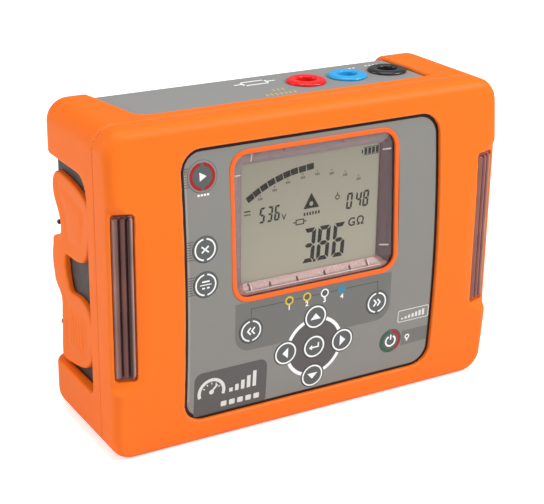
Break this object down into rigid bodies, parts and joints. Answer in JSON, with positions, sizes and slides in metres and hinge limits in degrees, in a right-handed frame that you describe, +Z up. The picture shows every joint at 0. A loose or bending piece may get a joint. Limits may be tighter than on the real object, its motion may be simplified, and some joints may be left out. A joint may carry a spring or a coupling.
{
  "type": "insulation resistance tester",
  "caption": "Portable insulation resistance tester: crowned keypad panel with display, shrouded test sockets on top, rubber side covers and rear battery bay, in shock-absorbing bumpers.",
  "frame": {"origin": "centre of the underside, on the plane the instrument stands on", "axes": "+X to the right seen from the front, +Y to the back, +Z up"},
  "size_m": [0.2, 0.075, 0.15],
  "materials": {
    "orange_rubber": "soft matt orange elastomer, finely textured",
    "case_plastic": "dark grey moulded plastic, spark-eroded texture",
    "panel_grey": "printed grey polyester, fine matt grain",
    "key_print": "dark printed key face, matt",
    "test_key_print": "dark red printed key face, matt",
    "clear_window": "clear hard-coated window",
    "smoked_plastic": "smoked translucent plastic",
    "lcd_glass": "reflective liquid-crystal cell, warm grey",
    "socket_red": "glossy red insulating plastic",
    "socket_blue": "glossy blue insulating plastic",
    "socket_black": "glossy black insulating plastic",
    "contact_metal": "nickel-plated brass",
    "zinc_steel": "zinc-plated steel",
    "black_rubber": "black elastomer",
    "pcb_green": "solder-masked glass-fibre board",
    "component_dark": "moulded component cases",
    "ferrite": "ferrite core with varnished winding",
    "relay_blue": "blue relay covers",
    "film_orange": "dipped film capacitors",
    "cell_jacket": "plain cell jacket",
    "ribbon_grey": "flat flexible cable",
    "label_silver": "blank anodised label"
  },
  "bodies": {
    "housing": {"front_bumper": "orange_rubber", "rear_bumper": "orange_rubber", "front_case": "case_plastic", "rear_case": "case_plastic", "case_seal": "black_rubber", "case_screws": "zinc_steel", "socket_panel": "panel_grey", "keypad_overlay": "panel_grey", "display_ring": "orange_rubber", "display_window": "clear_window", "display_frame": "smoked_plastic", "lcd_module": "lcd_glass", "left_grip_insert": "smoked_plastic", "right_grip_insert": "smoked_plastic", "red_socket": "socket_red", "blue_socket": "socket_blue", "black_socket": "socket_black", "socket_contacts": "contact_metal", "socket_nuts": "zinc_steel", "cover_anchor": "orange_rubber", "cover_studs": "component_dark", "charging_socket": "component_dark", "data_socket": "zinc_steel", "keypad_board": "pcb_green", "dome_switches": "zinc_steel", "main_board": "pcb_green", "terminal_board": "pcb_green", "hv_transformer": "ferrite", "relays": "relay_blue", "hv_capacitors": "film_orange", "buzzer": "component_dark", "ribbon_cable": "ribbon_grey", "board_standoffs": "contact_metal", "board_screws": "zinc_steel", "battery_cells": "cell_jacket", "battery_contacts": "zinc_steel", "battery_springs": "zinc_steel", "cover_seal": "black_rubber", "rating_plate": "label_silver"},
    "test_key": {"test_key": "test_key_print"},
    "escape_key": {"escape_key": "key_print"},
    "select_key": {"select_key": "key_print"},
    "previous_key": {"previous_key": "key_print"},
    "next_key": {"next_key": "key_print"},
    "up_key": {"up_key": "key_print"},
    "down_key": {"down_key": "key_print"},
    "left_key": {"left_key": "key_print"},
    "right_key": {"right_key": "key_print"},
    "enter_key": {"enter_key": "key_print"},
    "power_key": {"power_key": "key_print"},
    "upper_socket_cover": {"upper_socket_cover": "orange_rubber"},
    "lower_socket_cover": {"lower_socket_cover": "orange_rubber"},
    "battery_cover": {"battery_cover": "case_plastic", "cover_screws": "zinc_steel"}
  },
  "joints": [
    {"name": "test_key_press", "type": "slide", "parent": "housing", "child": "test_key", "axis": [0, 1, 0], "range_m": [0, 0.0004]},
    {"name": "escape_key_press", "type": "slide", "parent": "housing", "child": "escape_key", "axis": [0, 1, 0], "range_m": [0, 0.0004]},
    {"name": "select_key_press", "type": "slide", "parent": "housing", "child": "select_key", "axis": [0, 1, 0], "range_m": [0, 0.0004]},
    {"name": "previous_key_press", "type": "slide", "parent": "housing", "child": "previous_key", "axis": [0, 1, 0], "range_m": [0, 0.0004]},
    {"name": "next_key_press", "type": "slide", "parent": "housing", "child": "next_key", "axis": [0, 1, 0], "range_m": [0, 0.0004]},
    {"name": "up_key_press", "type": "slide", "parent": "housing", "child": "up_key", "axis": [0, 1, 0], "range_m": [0, 0.0004]},
    {"name": "down_key_press", "type": "slide", "parent": "housing", "child": "down_key", "axis": [0, 1, 0], "range_m": [0, 0.0004]},
    {"name": "left_key_press", "type": "slide", "parent": "housing", "child": "left_key", "axis": [0, 1, 0], "range_m": [0, 0.0004]},
    {"name": "right_key_press", "type": "slide", "parent": "housing", "child": "right_key", "axis": [0, 1, 0], "range_m": [0, 0.0004]},
    {"name": "enter_key_press", "type": "slide", "parent": "housing", "child": "enter_key", "axis": [0, 1, 0], "range_m": [0, 0.0004]},
    {"name": "power_key_press", "type": "slide", "parent": "housing", "child": "power_key", "axis": [0, 1, 0], "range_m": [0, 0.0004]},
    {"name": "upper_cover_hinge", "type": "hinge", "parent": "housing", "child": "upper_socket_cover", "pos_m": [-0.0958, 0.0225, 0.0808], "axis": [0, -1, 0], "range_deg": [0, 90]},
    {"name": "lower_cover_hinge", "type": "hinge", "parent": "housing", "child": "lower_socket_cover", "pos_m": [-0.0958, 0.0225, 0.0634], "axis": [0, 1, 0], "range_deg": [0, 90]},
    {"name": "battery_cover_lift", "type": "slide", "parent": "housing", "child": "battery_cover", "axis": [0, 1, 0], "range_m": [0, 0.03]}
  ]
}
